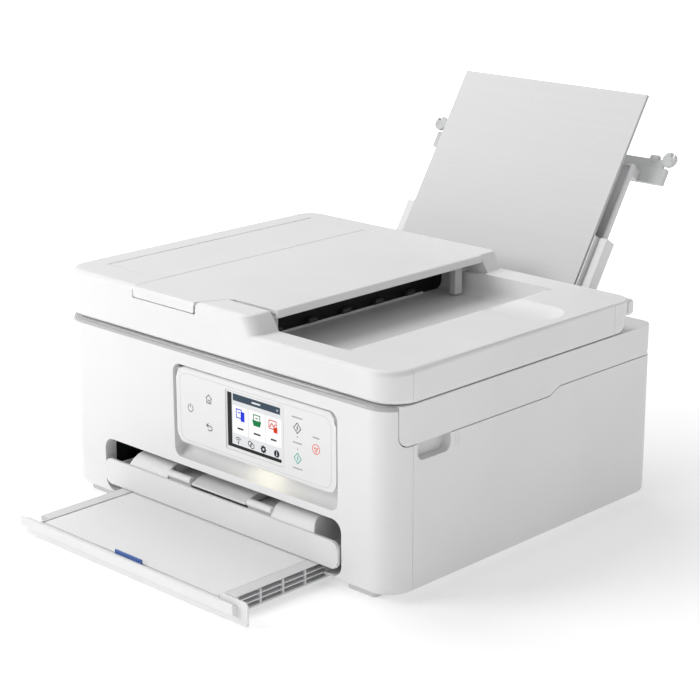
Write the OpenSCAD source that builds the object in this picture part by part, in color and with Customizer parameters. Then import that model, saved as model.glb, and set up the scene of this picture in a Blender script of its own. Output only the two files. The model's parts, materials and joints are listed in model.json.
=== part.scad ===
// All-in-one inkjet printer. X to the right, Y to the back, Z up, millimetres.
// Inside each module y = 0 is the plane of the front face; placed() moves the whole to its origin.

/* [Body] */
// Width of the body
body_w = 386; // [380:1:392]
// Depth of the body at its side walls
body_d = 325; // [322:1:330]
// Radius of the two front vertical corners, in plan
front_r = 24; // [20:1:26]
// Radius of the two rear vertical corners, in plan
rear_r = 12; // [8:1:16]
// Wall thickness of the plastic covers
wall = 2.5; // [2:0.1:3]

/* [Levels above the table] */
// Underside of the bottom case
case_z = 5.5; // [5:0.5:6]
// Lower edge of the front and side covers
cover_z = 8; // [7.5:0.5:9]
// Top of the side covers in front, where the scanner unit begins
side_top = 123.3; // [122:0.1:125]
// Top of the side covers at the back
side_top_rear = 129; // [128:0.5:130]
// Top of the front cover and of the scanner unit
unit_top = 155.5; // [155:0.5:156]
// Underside of the document cover
lid_z = 156.6; // [156.5:0.1:157]
// Top of the document cover's low deck
deck_top = 182.5; // [181:0.5:184]
// Top of the document feeder
feeder_top = 197; // [195:0.5:199]
// Radius of the soft front edge of the low deck
deck_round = 4.5; // [3:0.5:6]
// Corner radius of the document cover at its rear, in plan
cover_rear_r = 18; // [16:1:20]

/* [Front openings] */
// Half the width of the output slot
slot_half = 141; // [139:1:143]
// Top of the output slot
slot_top = 55.5; // [54:0.5:57]
// Half the width of the cassette tunnel in the front cover
tunnel_half = 131; // [128:1:134]
// Corner radius of the output slot
opening_r = 10; // [7:1:11]
// Corner radius of the recess behind the control panel
recess_r = 8; // [7:0.5:9]
// Height of the control panel's hinge line
panel_pivot_z = 136; // [135:0.5:137]

/* [Paper] */
// Width of the sheets
sheet_w = 210; // [205:1:210]
// Length of the sheets
sheet_l = 297; // [290:1:297]
// Thickness of the stack in the rear tray
rear_stack = 3; // [1:0.5:3]
// Lean of the rear tray from the vertical, in degrees
lean = 32.5; // [32:0.1:33]

/* [Drive] */
// Module of the paper feed gears
gear_m = 1; // [1:1]
// Teeth of the feed roller's gear
feed_teeth = 32; // [32:1:32]
// Teeth of the idler gear
idler_teeth = 34; // [34:1:34]
// Teeth of the eject roller's gear
eject_teeth = 22; // [22:1:22]
// Teeth of the feed motor's pinion
pinion_teeth = 12; // [12:1:12]

/* [Hidden] */
$fn = 48;
half_w = body_w / 2;
middle_y = 162.2;            // middle of the bounding box, front lip to leaning sheets
gap = 0.2;
seam = 0.6;                  // open joint all round the scanner unit
seam_y = front_r;            // the front cover ends where the side wall becomes straight
unit_front_y = 12.1;         // the scanner unit's side band begins here
unit_corner = 7;
recess_x = [-49.5, 137.5];
recess_z = [62, 141.8];
panel_x = [-46.5, 136];
panel_z = [74.3, 140.6];
panel_pivot_y = 5.6;
screen_x = [13.5, 78.5];
screen_z = [84, 132.5];
case_top = 21;               // top of the bottom case's deck
deck_z = 18.5;               // its underside, over the cassette tunnel
frame_x = [184, 185.5];      // side plates of the steel frame
rod_y = 182;
rod_z = 84;
rod_r = 4;
belt_y = 200;
belt_z = [108, 113];
pulley_x = 168;
pulley_r = 4.9;
home_x = [92, 176];          // the carriage at home, on the right
feed_y = 205;
feed_z = 54.5;
eject_z = 56;
feed_r = feed_teeth * gear_m / 2;
idler_r = idler_teeth * gear_m / 2;
eject_r = eject_teeth * gear_m / 2;
pinion_r = pinion_teeth * gear_m / 2;
train = feed_r + 2 * idler_r + eject_r;
train_rise = asin((eject_z - feed_z) / train);
train_dir = 180 - train_rise;                 // from the feed roller towards the eject roller
eject_y = feed_y + train * cos(train_dir);
idler_y = feed_y + (feed_r + idler_r) * cos(train_dir);
idler_z = feed_z + (feed_r + idler_r) * sin(train_dir);
pinion_dir = -50;
pinion_y = feed_y + (feed_r + pinion_r) * cos(pinion_dir);
pinion_z = feed_z + (feed_r + pinion_r) * sin(pinion_dir);
gear_x = [-180, -174];
shaft_end = 186.5;
arm_y = 224;                 // pivot of the cassette pickup arm
arm_z = 46;
pick_y = 248;
pick_z = 27;
pick_r = 9;
unit_pivot_y = 318;          // hinge of the scanner unit
unit_pivot_z = 133;
lid_pivot_y = 288;           // hinge of the document cover
lid_pivot_z = 164;
hinge_x = [150, 166];
glass_x = [-150, 152];
glass_y = [30, 252];
strip_x = [-172, -160];      // narrow window that the feeder scans through
scan_rod_y = 141;
scan_rod_z = 137.6;
recess_floor = 161.5;        // sunken document output
output_y = [25.6, 271];
output_x = [-98, 132];
output_rise = [76, 132];     // the floor rises to the deck between these
output_fillet = 8;           // between the floor and the back wall
pad_top = 158.8;
feeder_x = 41.5;             // right edge of the raised feeder, just under its top
feeder_foot_x = 56.4;        // the same face carried on down to where the hull ends
plate_x = 43.4;              // right edge of the document tray
plate_y = [30, 276];
plate_under = 193.5;
tray_pivot_x = 36.5;
tray_pivot_z = 190.5;
cover_x = [-168.2, -98.4];
cover_y = [32.3, 276];
cover_edge_r = 1.5;          // rounding of the feeder cover's left edge, on its hinge line
cover_axis_x = cover_x[0] + cover_edge_r;
cover_axis_z = feeder_top - cover_edge_r;
cassette_half = 118;
cassette_y = [-96.9, 208];
cassette_top = 15;
rail_x = 106;
sheet_front = -94.5;
sheet_top = 14.6;
lean_y = 425.3;              // top front edge of the sheets in the rear tray
lean_z = 326.07;
guide_x = [109.5, 117.5];
arm_x = [95, 111.5];
chute_half = 139.5;
chute_back = [18, 20.5];
rear_pick_d = -12;
rear_pick_s = -280;

// ---- placing and drawing helpers ----

module placed() { translate([0, -middle_y, 0]) children(); }

// Frame of the rear tray: z runs up the sheets from their top edge, y goes behind them.
module leaned() { translate([0, lean_y, lean_z]) rotate([-lean, 0, 0]) children(); }

module mirrored() {
    children();
    mirror([1, 0, 0]) children();
}

module span(x, y, z) {
    translate([x[0], y[0], z[0]]) cube([x[1] - x[0], y[1] - y[0], z[1] - z[0]]);
}

// Extrusions of a flat outline: (y, z) along X, (x, z) along Y, (x, y) along Z.
module along_x(x) { translate([x[0], 0, 0]) rotate([90, 0, 90]) linear_extrude(x[1] - x[0]) children(); }
module along_y(y) { translate([0, y[1], 0]) rotate([90, 0, 0]) linear_extrude(y[1] - y[0]) children(); }
module along_z(z) { translate([0, 0, z[0]]) linear_extrude(z[1] - z[0]) children(); }

module rod_x(x, y, z, r) { translate([x[0], y, z]) rotate([0, 90, 0]) cylinder(r = r, h = x[1] - x[0]); }
module rod_y(x, y, z, r) { translate([x, y[1], z]) rotate([90, 0, 0]) cylinder(r = r, h = y[1] - y[0]); }
module rod_z(x, y, z, r) { translate([x, y, z[0]]) cylinder(r = r, h = z[1] - z[0]); }

module rounded(a, b, r) {
    translate([a[0] + r, b[0]]) square([a[1] - a[0] - 2 * r, b[1] - b[0]]);
    translate([a[0], b[0] + r]) square([a[1] - a[0], b[1] - b[0] - 2 * r]);
    for (x = [a[0] + r, a[1] - r], y = [b[0] + r, b[1] - r]) translate([x, y]) circle(r);
}

function grown(range, by) = [range[0] - by, range[1] + by];

// Outline of the body in plan, inset all round.
module plan(inset) {
    rounded([inset - half_w, half_w - inset], [inset, 200], front_r - inset);
    rounded([inset - half_w, half_w - inset], [100, body_d - inset], rear_r - inset);
}

module plan_wall() {
    difference() {
        plan(0);
        plan(wall);
    }
}

// Gear tooth outline, four points a tooth, with running backlash.
function tooth(n, i, turn) = let (p = 360 / n, a = turn + i * p, m = gear_m)
    [for (c = [[-0.31, -1.15], [-0.13, 0.85], [0.13, 0.85], [0.31, -1.15]])
        (n / 2 + c[1]) * m * [cos(a + c[0] * p), sin(a + c[0] * p)]];

module gear(n, turn, y, z, bore) {
    along_x(gear_x) translate([y, z]) difference() {
        polygon([for (i = [0 : n - 1]) each tooth(n, i, turn)]);
        circle(bore);
    }
}

// Turn of a gear of nb teeth that meshes with one of na teeth, standing at turn a, along direction phi.
function meshed(phi, a, na, nb) = phi + 180 - (a - phi) * na / nb + 180 / nb;

// ---- body covers ----

module recess_shape() {
    intersection() {
        along_y([-1, 16]) rounded(recess_x, recess_z, recess_r);
        along_x(recess_x) union() {
            translate([-1, 76]) square([17, recess_z[1] - 76]);
            intersection() {
                translate([0, 76]) circle(14);
                translate([-1, recess_z[0]]) square([15, 15]);
            }
            translate([-1, recess_z[0]]) square([1, 20]);
        }
    }
}

module front_cover() placed() color("white") difference() {
    union() {
        along_z([cover_z, unit_top]) intersection() {
            plan_wall();
            translate([-half_w, 0]) square([body_w, seam_y]);
        }
        along_y([1, 12]) rounded(grown([-slot_half, slot_half], 2), [cover_z, slot_top + 2], opening_r + 2);
        span(grown(recess_x, 2), [1, 18], [60, 143.5]);
    }
    along_y([-1, 13]) rounded([-slot_half, slot_half], [cover_z + 1, slot_top], opening_r);
    span([-tunnel_half, tunnel_half], [-1, 13], [0, 20]);
    recess_shape();
    rod_x(grown(recess_x, 1.7), panel_pivot_y, panel_pivot_z, 2.05);
    along_x([-half_w - 1, half_w + 1]) translate([unit_front_y - seam, side_top])
        rounded([0, 60], [0, 60], unit_corner + seam);
}

module side_cover() difference() {
    intersection() {
        union() {
            along_z([cover_z, side_top_rear]) intersection() {
                plan_wall();
                translate([181, 0]) square([20, body_d]);
            }
            span([half_w - 10, half_w - 1], [27, 68], [107, side_top]);
        }
        along_x([150, half_w + 1]) polygon([[seam_y + gap, cover_z], [314, cover_z], [body_d, 15],
            [body_d, side_top_rear], [197.4, side_top_rear], [184.7, side_top], [seam_y + gap, side_top]]);
    }
    along_x([half_w - 8, half_w + 1]) rounded([29, 65.7], [109.7, side_top + 20], 6.5);
}

module side_cover_left() placed() color("white") mirror([1, 0, 0]) side_cover();
module side_cover_right() placed() color("white") side_cover();

screw_x = [-172, 172];
screw_z = [30, 112];

module rear_cover() placed() color("whitesmoke") difference() {
    union() {
        span([-180.7, 180.7], [body_d - wall, body_d], [15, side_top_rear]);
        mirrored() span([176, 178.5], [314, body_d - wall - gap], [100, unit_pivot_z + 3]);
        mirrored() span([176, 178.5], [314, body_d - wall], [100, side_top_rear]);
        mirrored() rod_x([171.5, 176], unit_pivot_y, unit_pivot_z, 2);
    }
    span([-141, 141], [300, 340], [125, 200]);
    span([136, 158], [300, 340], [34, 48]);
    span([-108, -94], [300, 340], [36, 49]);
    for (x = screw_x, z = screw_z) rod_y(x, [300, 330], z, 1.5);
}

module bottom_case() placed() color("whitesmoke") difference() {
    union() {
        along_z([case_z, cover_z]) difference() {
            plan(3);
            translate([-119.6, -1]) square([239.2, 314]);
        }
        span([-187, 187], [20, 318], [deck_z, case_top]);
        mirrored() span([119.6, 121.6], [14, 314.6], [case_z, deck_z]);
        mirrored() span([185, 187], [26, 318], [cover_z, deck_z]);
        span([-119.6, 119.6], [313, 315], [case_z, deck_z]);
        mirrored() along_x([50, 54]) union() {
            translate([arm_y - 6, case_top - 1]) square([12, arm_z - case_top + 1]);
            translate([arm_y, arm_z]) circle(6);
        }
    }
    span([-24, 24], [230, 266], [deck_z - 1, case_top + 1]);
    rod_x([-60, 60], arm_y, arm_z, 3.05);
}

module rubber_feet() placed() color("dimgray")
    mirrored() for (y = [[6, 31], [284, 306]]) along_z([0, case_z]) rounded([141, 171], y, 4);

module case_screws() placed() color("gray")
    for (x = screw_x, z = screw_z) {
        rod_y(x, [body_d, body_d + 1.6], z, 3);
        rod_y(x, [316, body_d], z, 1.5);
    }

module status_lamp() placed() color("lightyellow") span([34, 70], [12.2, 16], [76, 80]);

// ---- frame and print engine ----

module main_frame() placed() color("silver") difference() {
    union() {
        mirrored() span(frame_x, [108, 292], [case_top, 124]);
        span([-frame_x[0], frame_x[0]], [216, 217.5], [76, 126]);
        span([-frame_x[0], frame_x[0]], [208, 216], [124.5, 126]);
        span([160, 176], [192, 216], [104, 105.5]);
        rod_z(pulley_x, belt_y, [105.5, 113.8], 1.5);
        span([-170, -166], [212, 216], [117, 124.5]);
        mirrored() span([frame_x[0] - 8, frame_x[0]], [216, 228], [76, 77.5]);
    }
    span([-182, -154], [207, 213], [124, 127]);
    mirrored() {
        rod_x([180, 190], rod_y, rod_z, rod_r);
        rod_x([180, 190], feed_y, feed_z, 4.05);
        rod_x([180, 190], eject_y, eject_z, 3.05);
        rear_pick_axis() rod_x([180, 190], 0, 0, 3.05);
    }
    rod_x([-190, -180], idler_y, idler_z, 3.05);
}

module rear_pick_axis() {
    translate([0, lean_y + rear_pick_s * sin(lean) + rear_pick_d * cos(lean),
        lean_z + rear_pick_s * cos(lean) - rear_pick_d * sin(lean)]) children();
}

module carriage_rod() placed() color("silver") rod_x([-frame_x[1], frame_x[1]], rod_y, rod_z, rod_r);

module platen_frame() placed() color([0.08, 0.08, 0.09]) union() {
    span([-112, 112], [153, 193], [55, 60]);
    for (x = [-104 : 16 : 104]) span([x - 0.6, x + 0.6], [155, 191], [60, 61.4]);
    mirrored() span([100, 104], [156, 190], [case_top, 55]);
    mirrored() span([100, 104], [120, 157], [case_top, 40]);
    span([-143.6, 143.6], [118, 121], [case_top, 52]);
    along_x([-143.6, 143.6]) polygon([[19, 57.7], [19, 59.6], [121, 66], [121, 64]]);
    mirrored() along_x([141.6, 143.6]) polygon([[12.3, case_top], [12.3, 57.7], [19, 57.7], [121, 64],
        [121, case_top]]);
}

module feed_roller() placed() color("gray") union() {
    rod_x([-shaft_end, shaft_end], feed_y, feed_z, 4);
    rod_x([-110, 110], feed_y, feed_z, 7);
}

module feed_gear() placed() color("ivory") gear(feed_teeth, train_dir, feed_y, feed_z, 4);

module eject_roller() placed() color("dimgray") union() {
    rod_x([-shaft_end, shaft_end], eject_y, eject_z, 3);
    for (x = [-96 : 32 : 96]) rod_x([x - 5, x + 5], eject_y, eject_z, 5.4);
}

idler_turn = meshed(train_dir, train_dir, feed_teeth, idler_teeth);

module eject_gear() placed() color("ivory")
    gear(eject_teeth, meshed(train_dir, idler_turn, idler_teeth, eject_teeth), eject_y, eject_z, 3);

module idler_gear() placed() color("ivory") union() {
    gear(idler_teeth, idler_turn, idler_y, idler_z, 1);
    rod_x([-shaft_end, gear_x[1] + 2], idler_y, idler_z, 3);
}

module motor_pinion() placed() color("gold") union() {
    gear(pinion_teeth, meshed(pinion_dir, train_dir, feed_teeth, pinion_teeth), pinion_y, pinion_z, 1);
    rod_x([gear_x[0], -168], pinion_y, pinion_z, 1.5);
}

module feed_motor() placed() color("gray") difference() {
    union() {
        rod_x([-171, -151], pinion_y, pinion_z, 12);
        rod_x([-173, -171], pinion_y, pinion_z, 4);
        span([-168, -154], [pinion_y - 6, pinion_y + 6], [case_top, pinion_z]);
    }
    rod_x([-174, -167], pinion_y, pinion_z, 1.55);
}

module pickup_arm() placed() color("dimgray") union() {
    rod_x([-58, 58], arm_y, arm_z, 3);
    mirrored() along_x([13.6, 16.4]) difference() {
        union() {
            translate([arm_y, arm_z]) circle(6);
            translate([pick_y, pick_z]) circle(5);
            polygon([[arm_y - 3, arm_z - 5], [arm_y + 4, arm_z + 4.5], [pick_y + 4, pick_z + 3],
                [pick_y - 3, pick_z - 4]]);
        }
        translate([pick_y, pick_z]) circle(2.05);
    }
}

module pickup_roller() placed() color([0.2, 0.2, 0.2]) union() {
    rod_x([-13.2, 13.2], pick_y, pick_z, pick_r);
    rod_x([-17, 17], pick_y, pick_z, 2);
}

module rear_pickup_roller() placed() color([0.2, 0.2, 0.2]) rear_pick_axis() union() {
    rod_x([-shaft_end, shaft_end], 0, 0, 3);
    for (x = [-30, 30]) rod_x([x - 10, x + 10], 0, 0, 11);
}

module purge_unit() placed() color([0.3, 0.3, 0.32]) union() {
    span([114, 172], [126, 192], [case_top, 40]);
    for (x = [118, 146]) difference() {
        span([x, x + 22], [148.5, 172], [39, 60]);
        span([x + 2, x + 20], [150.5, 170], [56, 61]);
    }
    span([114, 117], [148.5, 188], [39, 58]);
}

module carriage() placed() color([0.15, 0.15, 0.16]) difference() {
    union() {
        span(home_x, [122, 176], [68, 114]);
        rod_x([home_x[0] + 2, home_x[1] - 2], rod_y, rod_z, 9);
        span([home_x[0] + 2, home_x[1] - 2], [170, rod_y], [76, 92]);
        span([124, 144], [175, 193.4], [102, 106]);
        span([124, 144], [191.8, 193.4], [104, 113]);
    }
    for (x = [95, 136]) {
        span([x, x + 37], [124, 172], [71, 130]);
        span([x, x + 37], [120, 140], [92, 130]);
        span([x + 8, x + 29], [150, 169], [60, 75]);
    }
    rod_x([80, 190], rod_y, rod_z, rod_r + 0.05);
}

module cartridge(x) union() {
    span([x + 1, x + 36], [125, 171], [71, 116]);
    span([x + 1, x + 36], [123, 125], [96, 116]);
    span([x + 9, x + 28], [151, 168], [66, 71]);
}

module black_cartridge() placed() color([0.1, 0.1, 0.1]) cartridge(136);
module colour_cartridge() placed() color([0.35, 0.36, 0.4]) cartridge(95);

module stadium(r) {
    translate([-pulley_x, belt_y - r]) square([2 * pulley_x, 2 * r]);
    for (x = [-pulley_x, pulley_x]) translate([x, belt_y]) circle(r);
}

module carriage_belt() placed() color([0.12, 0.12, 0.12]) along_z(belt_z) difference() {
    stadium(pulley_r + 1.3);
    stadium(pulley_r + 0.1);
}

module motor_pulley() placed() color("gold") union() {
    rod_z(-pulley_x, belt_y, grown(belt_z, 1), pulley_r);
    rod_z(-pulley_x, belt_y, [belt_z[1] + 1, 120], 1.5);
}

module idler_pulley() placed() color("ivory") difference() {
    rod_z(pulley_x, belt_y, grown(belt_z, 1), pulley_r);
    rod_z(pulley_x, belt_y, [100, 120], 1.55);
}

module carriage_motor() placed() color("gray") difference() {
    rod_z(-pulley_x, belt_y, [115.5, 131], 12);
    rod_z(-pulley_x, belt_y, [114, 121], 1.55);
}

module main_board() placed() color("darkgreen") union() {
    span([-150, 60], [312, 313.6], [28, 90]);
    for (c = [[-130, 40, 22], [-90, 62, 14], [-60, 36, 26], [10, 50, 18]])
        span([c[0], c[0] + c[2]], [309.5, 312], [c[1], c[1] + c[2]]);
    for (x = [-40, -20, 30]) span([x, x + 12], [302, 312], [76, 84]);
}

module power_supply() placed() color("dimgray") span([128, 180], [266, 314], [case_top, 74]);

module power_inlet() placed() color([0.1, 0.1, 0.1]) difference() {
    span([136, 158], [314, body_d], [34, 48]);
    along_y([316, 330]) rounded([139, 155], [37, 45], 3.9);
}

module usb_socket() placed() color("silver") difference() {
    span([-108, -94], [313.6, body_d], [36, 49]);
    span([-106.5, -95.5], [317, 330], [38, 47]);
}

// ---- rear tray ----

module rear_feed_chute() placed() color([0.85, 0.85, 0.86]) union() {
    intersection() {
        leaned() union() {
            mirrored() span([chute_half - 2, chute_half], [-25, chute_back[1]], [-262, -170]);
            span([-chute_half, chute_half], chute_back, [-262, -170]);
        }
        span([-150, 150], [304, 360], [99, unit_top + 2.5]);
    }
    leaned() span([-125, 125], chute_back, [-301, -255]);
    leaned() span([-125, 125], [-2, chute_back[1]], [-301, -298]);
    leaned() span([-104, 104], [3.6, 5.6], [-298, -200]);
}

module rear_support() placed() color("whitesmoke") leaned() difference() {
    union() {
        span([-arm_x[1], arm_x[1]], [11.5, 13.5], [-215, -95]);
        mirrored() span(arm_x, [9, 13.5], [-215, -62]);
        mirrored() span([101, 108], [13, 26.5], [-71, -62]);
    }
    mirrored() span([arm_x[0] + 2.5, arm_x[1] - 3], [8, 12], [-213, -64]);
    span([-60, 60], [5, 15], [-110, -90]);
}

// The bar stands behind the arms; its hooks hold longer paper when the bar is folded up.
module rear_crossbar() placed() color([0.85, 0.87, 0.88, 0.6]) leaned() difference() {
    union() {
        span([-134, 134], [26.5, 31], [-71, -56]);
        span([-128, 128], [27.5, 31], [-56.5, -48]);
        mirrored() {
            rod_x([113, 121], 28.5, -47.5, 3.3);
            rod_y(133.5, [24.5, 28.5], -47.5, 6.8);
        }
    }
    mirrored() span([134.5, 137.5], [24, 30], [-45, -40]);
}

module rear_guide() leaned() union() {
    span(guide_x, [5, 7], [-285, -135]);
    span([guide_x[1] - 2, guide_x[1]], [5, 17], [-285, -135]);
    span([105.6, 107.2], [1, 8.5], [-285, -135]);
    span([105.6, guide_x[0] + 1], [7, 8.5], [-285, -135]);
    span([105.6, guide_x[1]], [5, 8.5], [-285, -270]);
}

module rear_guide_left() placed() color("whitesmoke") mirror([1, 0, 0]) rear_guide();
module rear_guide_right() placed() color("whitesmoke") rear_guide();

module rear_sheets() placed() color("white") leaned()
    span([-sheet_w / 2, sheet_w / 2], [0, rear_stack], [-sheet_l, 0]);

// ---- cassette ----

module cassette_tray() placed() color("whitesmoke") difference() {
    union() {
        span([-cassette_half, cassette_half], cassette_y, [1, 2.5]);
        mirrored() span([rail_x, cassette_half], [-88, 10], [1, cassette_top]);
        mirrored() span([113, cassette_half], [10, cassette_y[1]], [1, cassette_top]);
        span([-cassette_half, cassette_half], [cassette_y[1] - 2.5, cassette_y[1]], [1, cassette_top]);
        mirrored() span([rail_x, rail_x + 2], [cassette_y[0], -88], [1, cassette_top]);
    }
    mirrored() for (y = [-85 : 23.5 : 0], z = [2.5 : 4.3 : 12])
        span([rail_x + 3, cassette_half + 1], [y, y + 21.5], [z, z + 3.1]);
    span([-9, 17], [-92, -20], [0, 3]);
}

module cassette_front() placed() color("white") difference() {
    union() {
        along_y([-98.5, cassette_y[0]]) rounded([-124, 142], [0.8, 15.4], 3);
        along_y([-98.5, cassette_y[0]]) rounded([112, 142], [0.8, 20.3], 3);
        along_x([-125.5, 131]) polygon([[-98.5, 15.2], [-101.5, 17.2], [-103.5, 17.2], [-103.5, 9], [-98.5, 6]]);
        span([-105.5, 105.5], [-98, -95.2], [11.5, 13.6]);
    }
    span([-41, 48], [cassette_y[0], -95], [11, 14]);
}

module cassette_sheets() placed() color("white")
    span([-sheet_w / 2, sheet_w / 2], [sheet_front, sheet_front + sheet_l], [4, sheet_top]);

module cassette_length_guide() placed() color("royalblue") union() {
    span([-12, 20], [-96.8, -95.2], [2.6, 18.4]);
    span([-8, 16], [-95.2, -60], [2.6, 3.8]);
}

module cassette_guide() union() {
    span([105.4, 107.2], [40, 130], [2.7, 14.8]);
    span([107.2, 109.4], [60, 110], [2.7, 4.5]);
}

module cassette_guide_left() placed() color("whitesmoke") mirror([1, 0, 0]) cassette_guide();
module cassette_guide_right() placed() color("whitesmoke") cassette_guide();

// ---- output tray ----

module output_tray() placed() color("white") union() {
    along_y([-2, 1]) rounded([-139.4, 139.4], [15.4, 38.2], 7);
    span([-134, 134], [1, 116], [24, 26.5]);
    mirrored() {
        span([132, 134], [1, 116], [26.5, 32]);
        intersection() {
            along_x([62, 112]) polygon([[1, 26], [1, 37.5], [4, 43], [8, 46.5], [13, 48], [60, 48],
                [80, 40], [80, 26]]);
            along_y([0, 81]) polygon([[60, 20], [112, 20], [111, 38], [106, 49], [60, 49]]);
        }
        rod_x([34, 62], 4.6, 41.6, 3.4);
        span([34, 62], [3, 60], [26.5, 39]);
    }
}

module tray_extension() placed() color("white") union() {
    along_x([-32.5, 32.5]) polygon([[2, 39], [2, 41], [8, 43.6], [14, 45], [74, 45], [74, 39]]);
    for (y = [18 : 8 : 66]) span([-30, 30], [y, y + 1.2], [45, 45.6]);
}

// ---- control panel ----

module control_panel() placed() color("white") difference() {
    union() {
        intersection() {
            along_y([-1, 16]) rounded(panel_x, panel_z, 11.5);
            along_x(panel_x) union() {
                translate([panel_pivot_y, panel_pivot_z]) circle(5.2);
                polygon([[0.4, 76.5], [2.4, panel_z[0]], [9, panel_z[0]], [11.4, 78],
                    [10.8, panel_pivot_z], [0.4, panel_pivot_z]]);
            }
        }
        rod_x(grown(recess_x, 1.4), panel_pivot_y, panel_pivot_z, 2);
    }
    span(screen_x, [-1, 3.2], screen_z);
}

module touch_screen() placed() color([0.05, 0.05, 0.06]) span(grown(screen_x, -0.2), [1.4, 3.2], grown(screen_z, -0.2));

// ---- scanner unit ----

module scanner_housing() placed() color("white") difference() {
    union() {
        intersection() {
            along_z([side_top + seam, unit_top]) plan_wall();
            along_x([-half_w - 1, half_w + 1])
                polygon([[unit_front_y, unit_top], [body_d, unit_top], [body_d, unit_pivot_z + 0.5],
                    [317, unit_pivot_z + 0.5], [317, side_top_rear + seam], [197.7, side_top_rear + seam],
                    [185, side_top + seam], for (a = [270 : -15 : 180]) [unit_front_y, side_top + seam]
                        + unit_corner * [1 + cos(a), 1 + sin(a)]]);
        }
        along_z([unit_top - wall, unit_top]) difference() {
            union() {
                plan(wall + gap);
                intersection() {
                    plan(0);
                    translate([-half_w, unit_front_y]) square([body_w, body_d]);
                }
            }
            translate([glass_x[0], glass_y[0]]) square([glass_x[1] - glass_x[0], glass_y[1] - glass_y[0]]);
            translate([strip_x[0], glass_y[0]]) square([strip_x[1] - strip_x[0], glass_y[1] - glass_y[0]]);
        }
        along_z([132, 134]) intersection() {
            plan(wall);
            translate([-half_w, 19.5]) square([body_w, 288.5]);
        }
        span([-188, 188], [19.5, 21.5], [132, 147]);
        span([-170, 170], [3.1, 21.5], [145, 147]);
        span([-170, 170], [3.1, 5.1], [145, unit_top]);
        span([-143, 143], [287.5, 289.5], [132, unit_top]);
        mirrored() {
            span([141, 143], [289, body_d - 1], [132, unit_top]);
            along_x([171.5, 175]) polygon([[unit_pivot_y - 3.5, 129.8], [unit_pivot_y + 2.5, 129.8],
                [unit_pivot_y + 5, unit_top], [unit_pivot_y - 6, unit_top]]);
            along_x(hinge_x) union() {
                translate([284.2, unit_top - 1]) square([8, lid_pivot_z - unit_top + 1]);
                translate([lid_pivot_y, lid_pivot_z]) circle(3.8);
            }
            rod_x(grown(hinge_x, 3.2), lid_pivot_y, lid_pivot_z, 2);
        }
    }
    span([-141, 141], [289.5, body_d + 1], [120, unit_top + 1]);
    mirrored() {
        span([170, 181], [319.5, body_d + 1], [120, 140]);
        rod_x([171, 176], unit_pivot_y, unit_pivot_z, 2.05);
    }
}

module scanner_glass() placed() color([0.7, 0.8, 0.8, 0.35]) union() {
    span(grown(glass_x, 3), grown(glass_y, 3), [150.5, unit_top - wall]);
    span(grown(strip_x, 2), grown(glass_y, 3), [150.5, unit_top - wall]);
}

module scan_bar() placed() color([0.1, 0.1, 0.11]) difference() {
    union() {
        span([-174, -158], [32, 250], [140, 149.8]);
        span([-176, -156], [scan_rod_y - 6, scan_rod_y + 6], [134.2, 142]);
    }
    rod_x([-180, -150], scan_rod_y, scan_rod_z, 3.05);
}

module scan_rod() placed() color("silver") rod_x([wall - half_w, half_w - wall], scan_rod_y, scan_rod_z, 3);

// ---- document cover with its feeder ----

// A ring whose outer edge is rounded, for softening the corners of a hull.
module soft_corner(x, y, z, r, f) {
    translate([x, y, z]) rotate_extrude($fn = 32) translate([r - f, 0]) circle(f, $fn = 24);
}

// Low deck and the taller feeder box on its left, both with softened edges.
module cover_shell() {
    hull() {
        for (s = [-1, 1]) {
            soft_corner(s * (half_w - front_r), front_r, deck_top - deck_round, front_r, deck_round);
            soft_corner(s * (half_w - cover_rear_r), 297 - cover_rear_r, deck_top - 1.5, cover_rear_r, 1.5);
        }
        along_z([lid_z + 3.2, lid_z + 3.7]) for (s = [-1, 1]) {
            translate([s * (half_w - front_r), front_r]) circle(front_r, $fn = 32);
            translate([s * (half_w - cover_rear_r), 293.5 - cover_rear_r]) circle(cover_rear_r, $fn = 32);
        }
        along_z([lid_z, lid_z + 0.2]) for (s = [-1, 1]) {
            translate([s * (half_w - front_r), front_r + 4.5]) circle(front_r - 0.3, $fn = 32);
            translate([s * (half_w - cover_rear_r), 291 - cover_rear_r]) circle(cover_rear_r - 0.3, $fn = 32);
        }
    }
    hull() {
        soft_corner(front_r - half_w, front_r, feeder_top - 6, front_r, 6);
        soft_corner(20 - half_w, 300 - 20, feeder_top - 6, 20, 6);
        soft_corner(feeder_x - 11, 12, feeder_top - 4, 11, 4);
        soft_corner(feeder_x - 6, 293, feeder_top - 2, 6, 2);
        along_z([deck_top - 12, deck_top - 11]) {
            for (c = [[front_r - half_w, front_r, front_r], [20 - half_w, 275, 20],
                [feeder_foot_x - 12, 12, 12], [feeder_foot_x - 6, 287, 6]])
                translate([c[0], c[1]]) circle(c[2], $fn = 32);
        }
    }
}

// Outline of the folding document tray in plan, with its front lip.
module tray_plan(g) {
    polygon([[output_x[0] + 0.3 - g, 0.6 - 4 * g], [-22.5 + g, 0.6 - 4 * g], [-11.5 + g, 24 - g],
        [-4 + g, plate_y[0] - 0.4 - g], [plate_x + 20 * g, plate_y[0] - g],
        [plate_x + 20 * g, plate_y[1] + g], [output_x[0] + 0.3 - g, plate_y[1] + g]]);
}

function eased(t) = t * t * (3 - 2 * t);

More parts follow.
